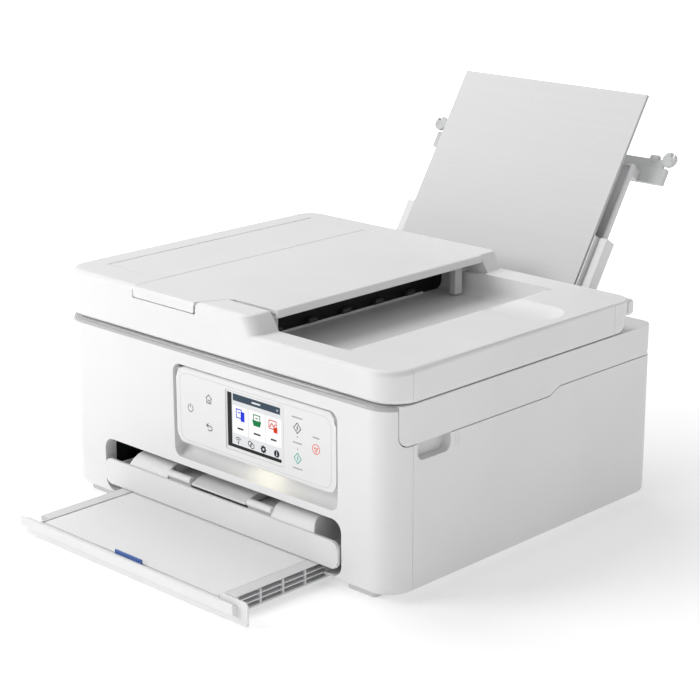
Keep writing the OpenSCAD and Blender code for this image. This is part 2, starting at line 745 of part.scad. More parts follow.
// Space above the sunken document output: its floor rises smoothly to the deck on the right.
module output_space() intersection() {
    along_y(output_y) polygon([[output_x[0], deck_top + 20], [output_x[0], recess_floor],
        for (t = [0 : 1 / 14 : 1.001]) [output_rise[0] + t * (output_rise[1] - output_rise[0]),
            recess_floor + eased(t) * (deck_top + 0.3 - recess_floor)],
        [output_rise[1], deck_top + 20]]);
    along_x([output_x[0] - 1, output_rise[1] + 1]) polygon([[output_y[0], recess_floor - 1],
        [output_y[1] - output_fillet - 1, recess_floor - 1],
        for (a = [-90 : 15 : 0]) [output_y[1] - output_fillet, recess_floor + output_fillet - 0.1]
            + output_fillet * [cos(a), sin(a)],
        [output_y[1], deck_top + 20], [output_y[0], deck_top + 20]]);
}

// Shallow hollow for the fingers, from the output to the right edge.
module finger_scoop() hull()
    for (x = [118, 160]) translate([x, 205, deck_top + 14]) scale([32, 34, 20]) sphere(1);

module document_cover() placed() color("whitesmoke") difference() {
    union() {
        cover_shell();
        mirrored() for (x = [[hinge_x[0] - 3, hinge_x[0] - 0.3], [hinge_x[1] + 0.3, hinge_x[1] + 3]])
            along_x(x) union() {
                translate([lid_pivot_y, lid_pivot_z]) circle(4.6);
                translate([276, lid_z + 0.6]) square([12, 8]);
            }
    }
    output_space();
    finger_scoop();
    span(grown(glass_x, -1.5), grown(glass_y, -1.5), [lid_z - 1, pad_top]);
    along_z([plate_under - 6.5, feeder_top + 3]) tray_plan(0.4);
    span([output_x[0], 60], grown(plate_y, 0.4), [deck_top, feeder_top + 3]);
    span([26, 50], [output_y[1] - 1, plate_y[1] + 0.4], [deck_top - 2, deck_top + 1]);
    span([cover_x[0] - 0.8, output_x[0] + 0.1], grown(cover_y, 0.4), [190.6, feeder_top + 3]);
    rod_y(cover_axis_x, grown(cover_y, 2.4), cover_axis_z, 0.85);
    span([-164, -103], [40, 268], [165, 192]);
    rod_y(-134, [36, 272], 177, 3.05);
    for (y = [plate_y[0] - 3, plate_y[1]]) rod_y(tray_pivot_x, [y - 0.5, y + 3.5], tray_pivot_z, 1.85);
    mirrored() {
        span([hinge_x[0] - 0.3, hinge_x[1] + 0.3], [281.5, 300], [lid_z - 1, 170.5]);
        rod_x(grown(hinge_x, 3.4), lid_pivot_y, lid_pivot_z, 2.05);
    }
}

module pressure_pad() placed() color("white") span(grown(glass_x, -2), grown(glass_y, -2), [156.2, pad_top]);

module feeder_cover() placed() color("whitesmoke") union() {
    along_y(cover_y) hull() {
        translate([cover_axis_x, cover_axis_z]) circle(cover_edge_r);
        translate([cover_x[0], 191]) square([1, 3]);
        translate([cover_x[1] - 1, 191]) square([1, feeder_top - 191]);
    }
    rod_y(cover_axis_x, grown(cover_y, 2), cover_axis_z, 0.8);
    for (x = [-150, -118]) span([x - 1, x + 1], [60, 248], [190, 191]);
}

module feeder_roller() placed() color([0.25, 0.25, 0.26]) union() {
    rod_y(-134, [37, 271], 177, 3);
    for (y = [84, 154, 224]) rod_y(-134, [y - 20, y + 20], 177, 11);
}

module document_tray() placed() color("whitesmoke") union() {
    intersection() {
        along_z([180, feeder_top]) tray_plan(0);
        along_y([-5, 290]) polygon([[-99, feeder_top], [plate_x - 1.6, feeder_top], [plate_x - 0.4, feeder_top - 0.5],
            [plate_x, feeder_top - 1.6], [plate_x, 190.3], [plate_x - 1.6, 190.3], [plate_x - 2.4, plate_under],
            [-99, plate_under]]);
    }
    along_y([0.6, 2.6]) rounded([output_x[0] + 0.3, -23], [187.5, feeder_top - 0.5], 2);
    rod_y(tray_pivot_x, [plate_y[0] - 3, plate_y[1] + 3], tray_pivot_z, 1.8);
    span([tray_pivot_x - 1, tray_pivot_x + 1], plate_y, [tray_pivot_z, plate_under + 0.5]);
}

// A guide hangs under the closed tray; the two slide towards each other.
module document_guide(y) union() {
    span([25, 31.5], y, [163, plate_under - 0.4]);
    span([-10, 25], y, [plate_under - 4, plate_under - 0.4]);
}

module document_guide_front() placed() color("whitesmoke") document_guide([33, 42]);
module document_guide_rear() placed() color("whitesmoke") document_guide([255, 264]);

bottom_case();
front_cover();
side_cover_left();
side_cover_right();
rear_cover();
main_frame();
carriage_rod();
platen_frame();
main_board();
power_supply();
power_inlet();
usb_socket();
purge_unit();
carriage_belt();
carriage_motor();
feed_motor();
rubber_feet();
case_screws();
rear_feed_chute();
status_lamp();
feed_roller();
feed_gear();
eject_roller();
eject_gear();
idler_gear();
motor_pinion();
pickup_arm();
pickup_roller();
rear_pickup_roller();
carriage();
black_cartridge();
colour_cartridge();
motor_pulley();
idler_pulley();
cassette_tray();
cassette_front();
cassette_sheets();
cassette_length_guide();
cassette_guide_left();
cassette_guide_right();
output_tray();
tray_extension();
control_panel();
touch_screen();
scanner_housing();
scanner_glass();
scan_bar();
scan_rod();
document_cover();
pressure_pad();
feeder_cover();
feeder_roller();
document_tray();
document_guide_front();
document_guide_rear();
rear_support();
rear_crossbar();
rear_guide_left();
rear_guide_right();
rear_sheets();
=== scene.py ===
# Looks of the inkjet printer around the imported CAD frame. Metres, in the row frame.
import json
import math
import random

import bmesh
import bpy
from mathutils import Matrix, Vector


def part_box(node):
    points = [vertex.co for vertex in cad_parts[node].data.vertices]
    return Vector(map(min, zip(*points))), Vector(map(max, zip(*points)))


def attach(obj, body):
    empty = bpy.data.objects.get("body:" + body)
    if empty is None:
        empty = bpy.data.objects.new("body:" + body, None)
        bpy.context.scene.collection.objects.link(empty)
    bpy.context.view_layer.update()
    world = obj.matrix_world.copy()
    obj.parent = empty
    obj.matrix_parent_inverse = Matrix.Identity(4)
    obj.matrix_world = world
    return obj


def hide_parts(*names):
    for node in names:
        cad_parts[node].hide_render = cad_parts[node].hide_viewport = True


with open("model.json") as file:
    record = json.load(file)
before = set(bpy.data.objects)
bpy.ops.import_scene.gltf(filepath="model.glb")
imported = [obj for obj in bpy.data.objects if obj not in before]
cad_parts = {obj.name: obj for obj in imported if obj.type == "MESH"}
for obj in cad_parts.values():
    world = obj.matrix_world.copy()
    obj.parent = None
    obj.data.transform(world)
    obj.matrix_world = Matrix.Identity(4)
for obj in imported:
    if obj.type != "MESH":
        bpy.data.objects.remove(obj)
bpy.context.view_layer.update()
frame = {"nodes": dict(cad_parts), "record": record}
MM = 0.001
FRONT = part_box("front_cover")[0].y       # plane of the front face
FRONT_TOP = 155.5                        # height of the front cover's top edge, mm
LEAN = math.radians(32.5)                # of the rear tray, from the vertical
SHEETS_TOP = (425.3, 326.07)             # depth and height of the top edge of the sheets in the rear tray, mm
REAR_FACE = 325.0                        # depth of the rear face, mm

CAMERA_AIM = (44.16, 16.82, -0.16)       # azimuth, elevation and roll, degrees
CAMERA_PLACE = (1.09305, FRONT - 0.96986, 0.60255)
CAMERA_LENS = 99.04                      # mm, on a sensor 36 mm wide
LIGHTS = (("key", (-1.3, -1.6, 1.2), 1.2, 22), ("top", (-1.3, 0.3, 2.3), 1.7, 28))
LIGHT_TARGET = (0, 0, 0.1)
SKY_STRENGTH = 0.455
WHITE = (1, 1, 1, 1)


# ---- camera, floor and light ----

def make_camera():
    azimuth, elevation, roll = (math.radians(a) for a in CAMERA_AIM)
    back = Vector((math.sin(azimuth) * math.cos(elevation), -math.cos(azimuth) * math.cos(elevation),
                   math.sin(elevation)))
    camera = bpy.data.objects.new("camera", bpy.data.cameras.new("camera"))
    bpy.context.scene.collection.objects.link(camera)
    camera.data.sensor_width, camera.data.lens = 36.0, CAMERA_LENS
    camera.data.clip_start, camera.data.clip_end = 0.05, 60.0
    turn = back.to_track_quat("Z", "Y").to_matrix() @ Matrix.Rotation(roll, 3, "Z")
    camera.matrix_world = Matrix.Translation(CAMERA_PLACE) @ turn.to_4x4()
    bpy.context.scene.camera = camera


def area_light(name, place, size, power):
    light = bpy.data.lights.new(name, "AREA")
    light.shape, light.size, light.energy = "SQUARE", size, power
    lamp = bpy.data.objects.new(name, light)
    bpy.context.scene.collection.objects.link(lamp)
    lamp.location = place
    lamp.rotation_mode = "QUATERNION"
    lamp.rotation_quaternion = (Vector(LIGHT_TARGET) - Vector(place)).to_track_quat("-Z", "Y")


def make_stage():
    mesh = bpy.data.meshes.new("floor")
    reach = 12.0
    corners = [(-reach, -reach, 0), (reach, -reach, 0), (reach, reach, 0), (-reach, reach, 0)]
    mesh.from_pydata(corners, [], [(0, 1, 2, 3)])
    floor = bpy.data.objects.new("floor", mesh)
    bpy.context.scene.collection.objects.link(floor)
    floor.location.z = -0.0002
    pale, tree, shader = new_material("pale_floor")
    shader.inputs["Base Color"].default_value = (0.9, 0.9, 0.9, 1)
    shader.inputs["Roughness"].default_value = 0.9
    shader.inputs["Emission Color"].default_value = WHITE
    # Painted light on the floor: it glows though it is no lamp, weakly near the object, which leaves a
    # painted soft shade round it, and more strongly further away.
    away = tree.nodes.new("ShaderNodeVectorMath")
    away.operation = "LENGTH"
    tree.links.new(coordinates(tree), away.inputs[0])
    tree.links.new(ramp(tree, away.outputs["Value"], 0.3, 0.75, 0.4, 2.0), shader.inputs["Emission Strength"])
    mesh.materials.append(pale)
    world = bpy.data.worlds.new("studio")
    bpy.context.scene.world = world
    world.use_nodes = True
    sky = world.node_tree.nodes["Background"]
    sky.inputs["Color"].default_value = WHITE
    sky.inputs["Strength"].default_value = SKY_STRENGTH
    for values in LIGHTS:
        area_light(*values)
    bpy.context.scene.view_settings.view_transform = "Standard"


# ---- materials ----

def at(x, y, z):
    """A point given in mm, y from the plane of the front face."""
    return Vector((x * MM, FRONT + y * MM, z * MM))


def new_material(name):
    material = bpy.data.materials.new(name)
    material.use_nodes = True
    tree = material.node_tree
    return material, tree, tree.nodes["Principled BSDF"]


def coordinates(tree, scale=(1, 1, 1)):
    place = tree.nodes.new("ShaderNodeTexCoord")
    mapping = tree.nodes.new("ShaderNodeMapping")
    mapping.inputs["Scale"].default_value = scale
    tree.links.new(place.outputs["Object"], mapping.inputs["Vector"])
    return mapping.outputs["Vector"]


def noise(tree, vector, scale, detail=3.0):
    node = tree.nodes.new("ShaderNodeTexNoise")
    node.inputs["Scale"].default_value = scale
    node.inputs["Detail"].default_value = detail
    tree.links.new(vector, node.inputs["Vector"])
    return node.outputs["Fac"]


def ramp(tree, factor, low, high, start=0.35, end=0.65):
    node = tree.nodes.new("ShaderNodeMapRange")
    for key, value in (("From Min", start), ("From Max", end), ("To Min", low), ("To Max", high)):
        node.inputs[key].default_value = value
    tree.links.new(factor, node.inputs["Value"])
    return node.outputs["Result"]


def tint(tree, shader, factor, dark, light, socket="Base Color"):
    node = tree.nodes.new("ShaderNodeMix")
    node.data_type = "RGBA"
    node.inputs["A"].default_value = (*dark, 1)
    node.inputs["B"].default_value = (*light, 1)
    tree.links.new(factor, node.inputs["Factor"])
    tree.links.new(node.outputs["Result"], shader.inputs[socket])


def bump(tree, shader, factor, strength, distance):
    node = tree.nodes.new("ShaderNodeBump")
    node.inputs["Strength"].default_value = strength
    node.inputs["Distance"].default_value = distance
    tree.links.new(factor, node.inputs["Height"])
    tree.links.new(node.outputs["Normal"], shader.inputs["Normal"])


def shade(colour, factor):
    return tuple(min(1.0, c * factor) for c in colour)


def box_mask(tree, boxes):
    """1 inside any of the boxes, which are given as (centre, half size) in mm from the front face."""
    place = tree.nodes.new("ShaderNodeTexCoord")
    split = tree.nodes.new("ShaderNodeSeparateXYZ")
    tree.links.new(place.outputs["Object"], split.inputs[0])
    total = None
    for centre, half in boxes:
        inside = None
        for axis in range(3):
            near = tree.nodes.new("ShaderNodeMath")
            near.operation = "COMPARE"
            tree.links.new(split.outputs[axis], near.inputs[0])
            near.inputs[1].default_value = at(*centre)[axis]
            near.inputs[2].default_value = half[axis] * MM
            inside = near.outputs[0] if inside is None else joined(tree, "MULTIPLY", inside, near.outputs[0])
        total = inside if total is None else joined(tree, "MAXIMUM", total, inside)
    return total


def joined(tree, operation, first, second):
    node = tree.nodes.new("ShaderNodeMath")
    node.operation = operation
    tree.links.new(first, node.inputs[0])
    tree.links.new(second, node.inputs[1])
    return node.outputs[0]


def moulded(name, colour, roughness, grain=0.35, grain_scale=2600, variation=0.02, lines=(), line_shade=0.3):
    """Moulded plastic: a fine eroded grain, a little uneven gloss and hardly any uneven colour.
    lines are the boxes in which a fine joint or a raised mark shows darker, or in which shade is painted on a
    chamfer."""
    material, tree, shader = new_material(name)
    vector = coordinates(tree)
    broad = noise(tree, vector, 9, 4)
    shades = ramp(tree, broad, 0, 1)
    tint(tree, shader, shades, shade(colour, 1 - variation), shade(colour, 1 + variation))
    if lines:
        dark = tree.nodes.new("ShaderNodeMix")
        dark.data_type = "RGBA"
        tree.links.new(shader.inputs["Base Color"].links[0].from_socket, dark.inputs["A"])
        dark.inputs["B"].default_value = (*shade(colour, line_shade), 1)
        tree.links.new(box_mask(tree, lines), dark.inputs["Factor"])
        tree.links.new(dark.outputs["Result"], shader.inputs["Base Color"])
    fine = noise(tree, vector, grain_scale, 2)
    tree.links.new(ramp(tree, noise(tree, vector, 240, 3), roughness - 0.04, roughness + 0.05),
                   shader.inputs["Roughness"])
    bump(tree, shader, fine, grain, 0.00004)
    shader.inputs["IOR"].default_value = 1.5
    return material


def metal(name, colour, roughness, stretch):
    """Drawn or rolled steel: fine lines along one axis."""
    material, tree, shader = new_material(name)
    lines = noise(tree, coordinates(tree, stretch), 900, 3)
    tint(tree, shader, ramp(tree, lines, 0, 1), shade(colour, 0.9), shade(colour, 1.06))
    tree.links.new(ramp(tree, lines, roughness - 0.07, roughness + 0.1), shader.inputs["Roughness"])
    bump(tree, shader, lines, 0.25, 0.00003)
    shader.inputs["Metallic"].default_value = 1.0
    return material


def paper(name, colour, stretch):
    """Uncoated paper with soft fibres; stretch makes the sheets' edges show as fine lines."""
    material, tree, shader = new_material(name)
    vector = coordinates(tree)
    fibres = noise(tree, vector, 1400, 5)
    edges = noise(tree, coordinates(tree, stretch), 6, 2)
    mixed = joined(tree, "ADD", fibres, ramp(tree, edges, -0.06, 0.06))
    tint(tree, shader, ramp(tree, mixed, 0, 1), shade(colour, 0.965), shade(colour, 1.01))
    shader.inputs["Roughness"].default_value = 0.86
    bump(tree, shader, fibres, 0.3, 0.00003)
    return material


def glowing(name, colour, strength, roughness=0.25, base=0.04, gloss=0.5):
    """A lit colour behind smooth cover glass, with the panel's faint pixel unevenness."""
    material, tree, shader = new_material(name)
    flicker = ramp(tree, noise(tree, coordinates(tree), 5200, 1), 0, 1)
    tint(tree, shader, flicker, shade(colour, base), shade(colour, base * 1.1))
    tint(tree, shader, flicker, shade(colour, 0.94), shade(colour, 1.02), "Emission Color")
    shader.inputs["Emission Strength"].default_value = strength
    shader.inputs["Roughness"].default_value = roughness
    shader.inputs["Specular IOR Level"].default_value = gloss
    return material


def clear(name, colour, roughness, alpha):
    material, tree, shader = new_material(name)
    clouds = noise(tree, coordinates(tree), 60, 4)
    tint(tree, shader, ramp(tree, clouds, 0, 1), shade(colour, 0.97), shade(colour, 1.02))
    tree.links.new(ramp(tree, clouds, roughness - 0.04, roughness + 0.06), shader.inputs["Roughness"])
    shader.inputs["Alpha"].default_value = alpha
    shader.inputs["IOR"].default_value = 1.5
    return material


SHELL = (0.80, 0.80, 0.80)
LID_JOINTS = [((side * 192.9, y, 169), (1.2, 0.13, 12.6)) for side in (-1, 1) for y in (23.8, 268.4)]
LID_JOINTS += [((side * 191.6, 146, 182.5), (0.11, 122.3, 1.0)) for side in (-1, 1)]
GRIP_MARK = [((193, y, 116), (1.0, 0.35, 5.0)) for y in (71.3, 73.6, 75.9)]
MATERIALS = {
    "white_shell": moulded("white_shell", SHELL, 0.42, lines=GRIP_MARK, line_shade=0.86),
    "cover_shell": moulded("cover_shell", SHELL, 0.46, grain=0.5, lines=LID_JOINTS, line_shade=0.45),
    "inner_plastic": moulded("inner_plastic", (0.68, 0.68, 0.69), 0.5),
    "black_plastic": moulded("black_plastic", (0.012, 0.012, 0.013), 0.55, variation=0.15),
    "dark_plastic": moulded("dark_plastic", (0.05, 0.05, 0.055), 0.5, variation=0.1),
    "gear_plastic": moulded("gear_plastic", (0.72, 0.7, 0.64), 0.4),
    "blue_plastic": moulded("blue_plastic", (0.052, 0.13, 0.40), 0.42),
    "clear_plastic": clear("clear_plastic", (0.60, 0.61, 0.61), 0.32, 0.86),
    "lamp_plastic": glowing("lamp_plastic", (1.0, 0.95, 0.70), 3.6, base=0.8),
    "steel": metal("steel", (0.62, 0.63, 0.65), 0.34, (0.06, 1, 1)),
    "dark_steel": moulded("dark_steel", (0.035, 0.035, 0.04), 0.35, variation=0.1),
    "brass_part": metal("brass_part", (0.72, 0.52, 0.2), 0.3, (1, 1, 0.08)),
    "rubber_part": moulded("rubber_part", (0.03, 0.03, 0.032), 0.75, 0.6, 1500, variation=0.12),
    "foot_rubber": moulded("foot_rubber", (0.6, 0.6, 0.6), 0.75, 0.6, 1500, variation=0.05),
    "board": moulded("board", (0.02, 0.13, 0.05), 0.35, variation=0.12),
    "screen": moulded("screen", (0.004, 0.004, 0.005), 0.16, grain=0.02, variation=0.1),
    "clear_glass": clear("clear_glass", (0.78, 0.86, 0.84), 0.05, 0.3),
    "sheet_paper": paper("sheet_paper", (0.80, 0.80, 0.80), (0.3, 0.3, 220)),
    "foam_pad": moulded("foam_pad", (0.76, 0.76, 0.75), 0.8, grain=0.8, grain_scale=900),
}
for dull in ("screen", "black_plastic"):
    MATERIALS[dull].node_tree.nodes["Principled BSDF"].inputs["Specular IOR Level"].default_value = 0.2
LEDGE = 3.6                              # width of the chamfer along the top of the front cover, and height of the band of painted shade on it
# The front cover's top chamfer is darkened in its colour: painted shade, standing for the lid's shadow on it.
LEDGE_SHADE_BOX = ((0, 12, FRONT_TOP - LEDGE / 2), (200, 14, LEDGE / 2))
FRONT_SHELL_LEDGE_SHADE = moulded("front_shell_ledge_shade", SHELL, 0.42, lines=[LEDGE_SHADE_BOX], line_shade=0.6)
# The sheets in the rear tray take a darker copy of the sheet paper: painted shade, because they lean back
# toward the lights.
SHADED_REAR_PAPER = paper("rear_paper_shaded", (0.70, 0.70, 0.70), (0.3, 160, 0.3))
GREY_INK = moulded("grey_ink", (0.045, 0.047, 0.05), 0.5, grain=0.1, variation=0.1)
PALE_INK = moulded("pale_ink", (0.36, 0.37, 0.38), 0.5, grain=0.1, variation=0.06)
GROOVE = moulded("groove_line", (0.52, 0.52, 0.52), 0.5, grain=0.1, variation=0.05)
TEAL_LIGHT = glowing("teal_light", (0.02, 0.42, 0.36), 0.7, base=0.3, gloss=0.2)
ORANGE_LIGHT = glowing("orange_light", (0.82, 0.08, 0.015), 0.7, base=0.3, gloss=0.2)


make_camera()
make_stage()


# ---- flat outlines in mm, and the pieces made from them ----

def arc(x, z, r, start, end, count=14):
    """Points along an arc; angles in degrees."""
    turns = [math.radians(start + (end - start) * i / count) for i in range(count + 1)]
    return [(x + r * math.cos(t), z + r * math.sin(t)) for t in turns]


def disc(x, z, r, count=24):
    return arc(x, z, r, 0, 360 * (1 - 1 / count), count - 1)


def rounded(x, z, r, count=5):
    """A rectangle between the two values of x and of z, with round corners."""
    points = []
    for cx, cz, start in ((x[1] - r, z[1] - r, 0), (x[0] + r, z[1] - r, 90),
                          (x[0] + r, z[0] + r, 180), (x[1] - r, z[0] + r, 270)):
        points += arc(cx, cz, r, start, start + 90, count)
    return points


def moved(points, x, z):
    return [(x + a, z + b) for a, b in points]


def stroke(points, width, closed=False):
    """A line of the given width along the points, as one four-sided outline for each part of it."""
    count = len(points)
    left, right = [], []
    for i, (x, z) in enumerate(points):
        ways = []
        if i > 0 or closed:
            ways.append((x - points[i - 1][0], z - points[i - 1][1]))
        if i < count - 1 or closed:
            following = points[(i + 1) % count]
            ways.append((following[0] - x, following[1] - z))
        ways = [Vector(w).normalized() for w in ways]
        along = sum(ways, Vector((0, 0))).normalized()
        across = Vector((-along.y, along.x)) * width / 2 / max(0.4, along.dot(ways[0]))
        left.append((x + across.x, z + across.y))
        right.append((x - across.x, z - across.y))
    pairs = [(i, (i + 1) % count) for i in range(count if closed else count - 1)]
    return [(left[i], left[j], right[j], right[i]) for i, j in pairs]


def ring(outer, inner):
    """Quads between two outlines with equally many points."""
    return [[outer[i - 1], outer[i], inner[i], inner[i - 1]] for i in range(len(outer))]


def facing_front(a, b, c):
    return at(a, c, b)


def facing_side(a, b, c):
    return at(c, a, b)


def lying(a, b, c):
    return at(a, b, c)


def on_rear_tray(a, b, c):
    """a across, b up the tray from the sheets' top edge, c behind the sheets' front."""
    y, z = SHEETS_TOP
    return at(a, y + b * math.sin(LEAN) + c * math.cos(LEAN), z + b * math.cos(LEAN) - c * math.sin(LEAN))


def extrude(bm, outline, place, near, far):
    lower = [bm.verts.new(place(a, b, near)) for a, b in outline]
    upper = [bm.verts.new(place(a, b, far)) for a, b in outline]
    bm.faces.new(lower)
    bm.faces.new(upper[::-1])
    for i in range(len(outline)):
        j = (i + 1) % len(outline)
        bm.faces.new((lower[i], upper[i], upper[j], lower[j]))


def piece_from(name, body, slot_name, outlines, place, near, far, material=None, edge=0.0, nodes=()):
    """One piece of the outlines, pulled from depth near to depth far, with edges rounded by edge mm."""
    bm = bmesh.new()
    for outline in outlines:
        extrude(bm, outline, place, near, far)
    return built(bm, name, body, slot_name, material, edge, nodes)


def built(bm, name, body, slot_name, material=None, edge=0.0, nodes=()):
    bmesh.ops.recalc_face_normals(bm, faces=bm.faces)
    if edge:
        sharp = [e for e in bm.edges if len(e.link_faces) == 2 and e.calc_face_angle(0) > 0.5]
        bmesh.ops.bevel(bm, geom=sharp, offset=edge * MM, segments=2, affect="EDGES")
    mesh = bpy.data.meshes.new(name)
    bm.to_mesh(mesh)
    bm.free()
    piece = bpy.data.objects.new(name, mesh)
    bpy.context.scene.collection.objects.link(piece)
    mesh.materials.append(material or MATERIALS[slot_name])
    smooth(mesh)
    return finished(piece, body, slot_name, *nodes)


# ---- softened copies of the CAD nodes ----

SHARP_ANGLE = math.radians(25)           # edges flatter than this belong to curved faces and stay as they are
SLOT_OF = {p["node"]: p["material_slot"] for p in frame["record"]["subparts"]}
BODY_OF = {n: b for b, nodes in frame["record"]["behaviour"]["bodies"].items() for n in nodes}


def finished(piece, body, slot_name, *nodes):
    """Gives a new piece its slot's material if it has none, hangs it on its body and hides the CAD nodes that
    it stands for.
    """
    if not piece.data.materials:
        piece.data.materials.append(MATERIALS[slot_name])
    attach(piece, body)
    if nodes:
        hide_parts(*nodes)
    return piece


def smooth(mesh, angle=32):
    mesh.shade_smooth()
    mesh.set_sharp_from_angle(angle=math.radians(angle))


def applied(piece):
    """Applies the piece's modifiers to its mesh."""
    depsgraph = bpy.context.evaluated_depsgraph_get()
    mesh = bpy.data.meshes.new_from_object(piece.evaluated_get(depsgraph))
    old = piece.data
    piece.modifiers.clear()
    piece.data = mesh
    bpy.data.meshes.remove(old)


def soften(node, width, special=None):
    """A copy of a CAD node with its edges rounded by width mm; special(middle, edge) may give another width.
    No vertex is left outside the node's own box."""
    source = frame["nodes"][node]
    mesh = source.data.copy()
    mesh.materials.clear()
    piece = bpy.data.objects.new(node + "_look", mesh)
    bpy.context.scene.collection.objects.link(piece)
    bm = bmesh.new()
    bm.from_mesh(mesh)
    bmesh.ops.remove_doubles(bm, verts=bm.verts, dist=2e-6)
    bmesh.ops.dissolve_limit(bm, angle_limit=math.radians(0.4), verts=bm.verts, edges=bm.edges)
    if node in PIERCED:
        bmesh.ops.triangulate(bm, faces=bm.faces)
    layer = bm.edges.layers.float.new("bevel_weight_edge")
    wide = {}
    for edge in bm.edges:
        if len(edge.link_faces) != 2 or edge.calc_face_angle(0) < SHARP_ANGLE:
            continue
        middle = (edge.verts[0].co + edge.verts[1].co) / 2
        own_width = special(middle, edge) if special else None
        wide[edge] = own_width or width
    largest = max(wide.values(), default=0)
    for edge, value in wide.items():
        edge[layer] = value / largest
    bm.to_mesh(mesh)
    bm.free()
    if largest:
        bevel = piece.modifiers.new("edges", "BEVEL")
        bevel.limit_method = "WEIGHT"
        bevel.width = largest * MM
        bevel.segments = 2
        bevel.use_clamp_overlap = False
        bevel.miter_outer = "MITER_ARC"
        applied(piece)
    low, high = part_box(node)
    for vertex in piece.data.vertices:
        vertex.co = [min(max(c, a), b) for c, a, b in zip(vertex.co, low, high)]
    smooth(piece.data)
    flat = piece.modifiers.new("flat_faces", "WEIGHTED_NORMAL")
    flat.keep_sharp = True
    applied(piece)
    return finished(piece, BODY_OF[node], SLOT_OF[node], node)


SOFT_EDGES = {                           # width of the rounding of each node's edges, mm
    "front_cover": 0.5, "side_cover_left": 0.4, "side_cover_right": 0.4,
    "bottom_case": 0.4, "rear_feed_chute": 0.4, "cassette_tray": 0.25, "cassette_front": 0.5,
    "cassette_length_guide": 0.4, "cassette_guide_left": 0.3, "cassette_guide_right": 0.3,
    "output_tray": 0.5, "tray_extension": 0.5, "control_panel": 0.7, "scanner_housing": 0.5,
    "document_cover": 0.45, "feeder_cover": 0.3, "document_tray": 0.5, "document_guide_front": 0.6,
    "document_guide_rear": 0.6, "rear_support": 0.4, "rear_crossbar": 0.6, "rear_guide_left": 0.5,
    "rear_guide_right": 0.5, "rubber_feet": 0.5, "carriage": 0.4, "black_cartridge": 0.6,
    "colour_cartridge": 0.6, "purge_unit": 0.4, "power_supply": 0.8, "case_screws": 0.2,
    "power_inlet": 0.3, "usb_socket": 0.2,
}
# Nodes whose flat faces have holes or notches: they stay triangles while the edges are rounded.
PIERCED = {"front_cover", "tray_extension", "control_panel", "rear_crossbar", "cassette_front",
           "cassette_tray", "output_tray"}


def front_cover_edges(middle, edge):
    """The outer top edge has a broad chamfer; the inward edges low down, round the cassette, stay sharp."""
    x, y, z = abs(middle.x) / MM, (middle.y - FRONT) / MM, middle.z / MM
    if z < 30:
        return None if edge.is_convex else 0.02
    if z < FRONT_TOP - 0.3:
        return None
    outer = y < 0.5 or (y < 23 and math.hypot(x - 169, y - 24) > 23.2)
    return LEDGE if outer else 0.3


for node_name, edge_width in SOFT_EDGES.items():
    softened = soften(node_name, edge_width, front_cover_edges if node_name == "front_cover" else None)
    if node_name == "front_cover":
        # the front cover's copy of the white shell, with painted shade on its top chamfer
        softened.data.materials[0] = FRONT_SHELL_LEDGE_SHADE

for node_name, node_object in frame["nodes"].items():
    if node_name not in SOFT_EDGES:
        node_object.data.materials.clear()
        node_object.data.materials.append(MATERIALS[SLOT_OF[node_name]])
        smooth(node_object.data)


# ---- control panel: printed symbols, groove line, display ----

PANEL_FACE = 0.4                         # depth of the panel's front face behind y = 0
PRINT = (PANEL_FACE - 0.05, PANEL_FACE + 0.02)


def printed(name, outlines, material, slot_name="dark_plastic"):
    return piece_from(name, "control_panel", slot_name, outlines, facing_front, *PRINT, material=material)


def start_symbol(x, z):
    spark = moved([(0.7, 2.1), (-0.6, 0.1), (0.6, -0.1), (-0.7, -2.1)], x, z)
    return stroke(moved([(0, 4.3), (-3.9, 0), (0, -4.3), (3.9, 0)], x, z), 0.7, True) + stroke(spark, 0.65)


power = stroke(arc(-29, 107.3, 3.0, 118, 422), 0.65) + stroke([(-29, 107.8), (-29, 111.4)], 0.65)
home = stroke(moved([(-3.5, 0.4), (0, 3.6), (3.5, 0.4)], -6.7, 119.8), 0.7)
home += stroke(moved([(-2.5, 0.6), (-2.5, -3.4), (2.5, -3.4), (2.5, 0.6)], -6.7, 119.8), 0.7)
home += stroke(moved([(-0.9, -3.2), (-0.9, -0.9), (0.9, -0.9), (0.9, -3.2)], -6.7, 119.8), 0.55)
hook = [(-3.2, 1.4), (1.2, 1.4)] + arc(1.2, -0.5, 1.9, 75, -90, 8) + [(-2.0, -2.4)]
back = stroke(moved(hook, -6.6, 95.7), 0.75)
back += stroke(moved([(-1.2, 3.2), (-3.4, 1.4), (-1.2, -0.4)], -6.6, 95.7), 0.75)
dots = [disc(94.3, 112.4, 0.5, 12), disc(94.4, 102.4, 0.5, 12)]
printed("panel_symbols", power + home + back + start_symbol(94.4, 119.4) + dots, GREY_INK)
label_bars = [((88.6, 100.2), 127.9), ((89.4, 99.4), 107.4), ((89.0, 99.8), 86.6), ((110.8, 118.4), 116.4)]
printed("panel_label_bars", [rounded(x, (z - 0.55, z + 0.55), 0.5) for x, z in label_bars], PALE_INK)
printed("panel_teal_symbol", start_symbol(94.5, 94.9), TEAL_LIGHT, "lamp_plastic")
stop = stroke(arc(114.6, 107.2, 3.9, 0, 345), 0.65, True)
stop += stroke(moved([(-1.8, 1.2), (1.8, 1.2), (0, -2.0)], 114.6, 107.0), 0.6, True)
printed("panel_stop_symbol", stop, ORANGE_LIGHT, "lamp_plastic")
panel_edge = rounded((-41.3, 130.8), (78.6, 135.6), 8.0)
printed("panel_groove", stroke(panel_edge, 0.28, True), GROOVE, "white_shell")
screen_edge = rounded((12.9, 79.1), (83.4, 133.1), 1.2)
printed("screen_rim", stroke(screen_edge, 0.3, True), GROOVE, "white_shell")
# Black strips in the narrow gaps above and right of the control panel: painted shadow, where the gaps' white
# walls would otherwise show light grey.
gap_shadow_strips = [rounded((137.0, 137.5), (80, 132), 0.1), rounded((-47, 126), (141.4, 141.8), 0.1)]
piece_from("recess_gap_shadow", "base", "rubber_part", gap_shadow_strips, facing_front, 2.0, 14.5)

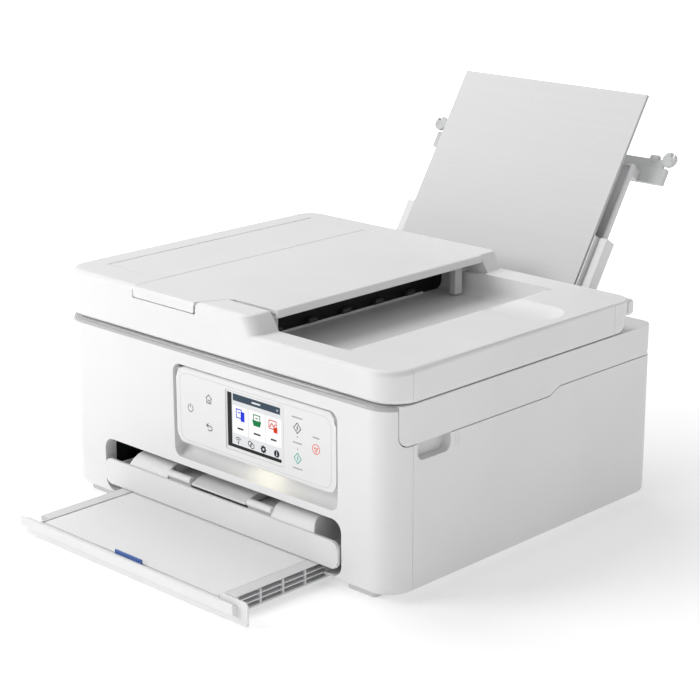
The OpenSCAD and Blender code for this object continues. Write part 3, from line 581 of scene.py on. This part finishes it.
DISPLAY = {
    "display_ground": ((0.80, 0.81, 0.83), 0.95), "display_header": ((0.042, 0.068, 0.10), 1.0),
    "display_tiles": ((0.96, 0.96, 0.96), 1.0), "display_light": ((0.85, 0.87, 0.9), 0.9),
    "display_ink": ((0.012, 0.016, 0.025), 0.8), "display_blue": ((0.012, 0.04, 0.78), 0.9),
    "display_green": ((0.0, 0.22, 0.06), 0.9), "display_red": ((0.76, 0.045, 0.012), 0.9),
}
GLASS_FACE = 1.4                         # depth of the display's front face, mm


def shown(name, layer, outlines):
    """Part of the picture on the display; the layers lie a few hundredths of a millimetre apart."""
    colour, strength = DISPLAY[name]
    front = GLASS_FACE - 0.02 - 0.02 * layer
    piece_from(name, "control_panel", "screen", outlines, facing_front, front, GLASS_FACE + 0.05,
               material=glowing(name, colour, strength, 0.3, gloss=0.12))


TILES = ((20.2, 38.0), (38.9, 57.6), (58.3, 75.6))
shown("display_ground", 0, [rounded((19.4, 76.2), (88.7, 131.4), 0.3)])
shown("display_header", 1, [rounded((20.8, 74.6), (125.2, 130.9), 0.7)])
shown("display_tiles", 1, [rounded(x, (98.0, 121.4), 0.8) for x in TILES])
sheet_blue = stroke(moved([(-5.4, -2.4), (-5.4, 4.6), (0.6, 4.6), (0.6, -2.4)], 30, 114.2), 0.85, True)
sheet_blue += stroke(moved([(-3.8, 2.0), (-1.0, 2.0)], 30, 114.2), 0.9)
shown("display_blue", 2, sheet_blue + [rounded((29.6, 34.0), (109.4, 117.4), 0.5)])
scanner = [moved([(-5.2, 0.5), (5.2, 0.5), (3.6, -4.2), (-3.6, -4.2)], 48, 113.6)]
scanner += stroke(moved([(-3.6, 0.3), (-3.6, 5.0), (3.6, 5.0), (3.6, 0.3)], 48, 113.6), 0.85)
scanner += stroke(moved([(-1.4, 2.4), (1.4, 2.4)], 48, 113.6), 0.9)
shown("display_green", 2, scanner)
pictures = stroke(rounded((61.9, 70.2), (111.6, 118.4), 0.5), 0.85, True)
pictures += [rounded((67.0, 71.4), (109.0, 113.6), 0.5)]
pictures += stroke([(62.8, 112.8), (65.0, 116.2), (67.0, 113.8), (69.2, 116.0)], 0.9)
shown("display_red", 2, pictures)
waves = [stroke(arc(26.4, 90.6, r, 48, 132, 8), 0.6) for r in (1.5, 3.0, 4.5)]
ink = [rounded((x[0] + 5.4, x[1] - 5.4), (102.2, 103.6), 0.6) for x in TILES] + [disc(26.4, 90.5, 0.7, 12)]
ink += [quad for wave in waves for quad in wave]
ink += stroke(arc(40.0, 93.2, 2.1, 0, 340), 0.65, True) + stroke(arc(42.4, 91.8, 2.1, 0, 340), 0.65, True)
ink += stroke(arc(55.2, 92.3, 1.9, 0, 340), 1.7, True) + [disc(70.2, 92.3, 3.0)]
ink += [moved(rounded((-0.5, 0.5), (-0.5, 0.5), 0.2), 55.2 + 2.8 * math.cos(t), 92.3 + 2.8 * math.sin(t))
        for t in (math.radians(45 * i) for i in range(8))]
shown("display_ink", 2, ink)
light = [rounded((42.5, 52.5), (127.3, 128.7), 0.6)]
light += [rounded((69.8, 70.6), (90.3, 92.8), 0.2), disc(70.2, 93.8, 0.45, 12)]
light += stroke([(70.4, 128.6), (71.4, 127.4), (72.4, 128.6)], 0.5)
shown("display_light", 3, light)
bezel = ring(screen_edge, rounded((14.5, 76.0), (86.0, 131.3), 0.8))
piece_from("screen_bezel", "control_panel", "white_shell", bezel, facing_front, 1.0, GLASS_FACE + 0.05)


# ---- document feeder: dark exit, eject lip, rollers, hinge caps ----

EXIT_DEPTH = (26.0, 270.6)               # from the front to the back of the feeder's exit, mm
EXIT_FLOOR = 161.6
exit_board = [rounded(EXIT_DEPTH, (161.7, 186.8), 0.3)]
piece_from("exit_board", "document_cover", "black_plastic", exit_board, facing_side, 0.6, 1.6)
exit_floor = [rounded((-97.6, 1.0), EXIT_DEPTH, 0.3)]
piece_from("exit_floor", "document_cover", "black_plastic", exit_floor, lying, EXIT_FLOOR, 162.0)
eject_lip = [rounded((26.0, 244.0), (EXIT_FLOOR, 163.4), 0.6)]
piece_from("eject_lip", "document_cover", "cover_shell", eject_lip, facing_side, 2.2, 4.4, edge=0.5)
exit_wheels = [disc(4.4, 166.2, 2.4, 20)]
for wheel, middle in enumerate((66, 106, 146, 186, 226)):
    piece_from("exit_wheel_%d" % wheel, "document_cover", "dark_plastic", exit_wheels, facing_front,
               middle - 5, middle + 5, edge=0.4)
for side, label in ((-1, "left"), (1, "right")):
    caps = [rounded((289.5, 299.0), (167.5, 181.2), 4.0)]
    near, far = sorted((side * 181.0, side * 190.0))
    piece_from("hinge_cap_" + label, "document_cover", "cover_shell", caps, facing_side, near, far, edge=1.6)


# ---- sheets of paper, a little out of line ----

def stack(name, node, place, half_width, length, thickness, count, slack, material):
    """count sheets or bundles lying on each other; each is shifted at random by up to slack mm."""
    dice = random.Random(node)
    bm = bmesh.new()
    step = (thickness[1] - thickness[0]) / count
    for i in range(count):
        across, along = dice.uniform(-slack, slack), dice.uniform(-slack, 0)
        left, right = across - half_width, across + half_width
        first, last = length[0] + slack + along, length[1] + along
        outline = [(left, first), (right, first), (right, last), (left, last)]
        near = thickness[0] + i * step
        extrude(bm, outline, place, near, near + step - 0.02)
    built(bm, name, BODY_OF[node], "sheet_paper", material, nodes=[node])


SHEET_HALF = 104.8                       # half the width of a sheet less the slack, mm
SLACK = 0.25
stack("rear_sheet_stack", "rear_sheets", on_rear_tray, SHEET_HALF, (-297, 0), (0, 3), 14, SLACK, SHADED_REAR_PAPER)
stack("cassette_sheet_stack", "cassette_sheets", lying, SHEET_HALF, (-94.5, 202.5), (4, 14.6), 34, SLACK,
      MATERIALS["sheet_paper"])


# ---- back of the printer ----

vents = [rounded((x, x + 34), (z, z + 1.8), 0.85) for x in (-60, -20, 20) for z in (62, 67, 72, 77, 82)]
piece_from("rear_vents", "base", "black_plastic", vents, facing_front, REAR_FACE - 0.5, REAR_FACE + 0.06)
plate_outline = [rounded((-150, -118), (58, 80), 1.5)]
piece_from("rating_plate", "base", "inner_plastic", plate_outline, facing_front,
           REAR_FACE - 0.4, REAR_FACE + 0.15)
pins = [disc(143.2, 41, 1.1, 16), disc(150.8, 41, 1.1, 16)]
piece_from("inlet_pins", "base", "steel", pins, facing_front, 316, 322.5, edge=0.3)
tongue = [rounded((-104.2, -97.8), (40, 45), 0.4)]
piece_from("usb_tongue", "base", "black_plastic", tongue, facing_front, 317, 323.5)
crosses = []
for x in (-172, 172):
    for z in (30, 112):
        crosses += [rounded((x - 1.8, x + 1.8), (z - 0.35, z + 0.35), 0.1),
                    rounded((x - 0.35, x + 0.35), (z - 1.8, z + 1.8), 0.1)]
piece_from("screw_recesses", "base", "black_plastic", crosses, facing_front, 326.4, 326.63)
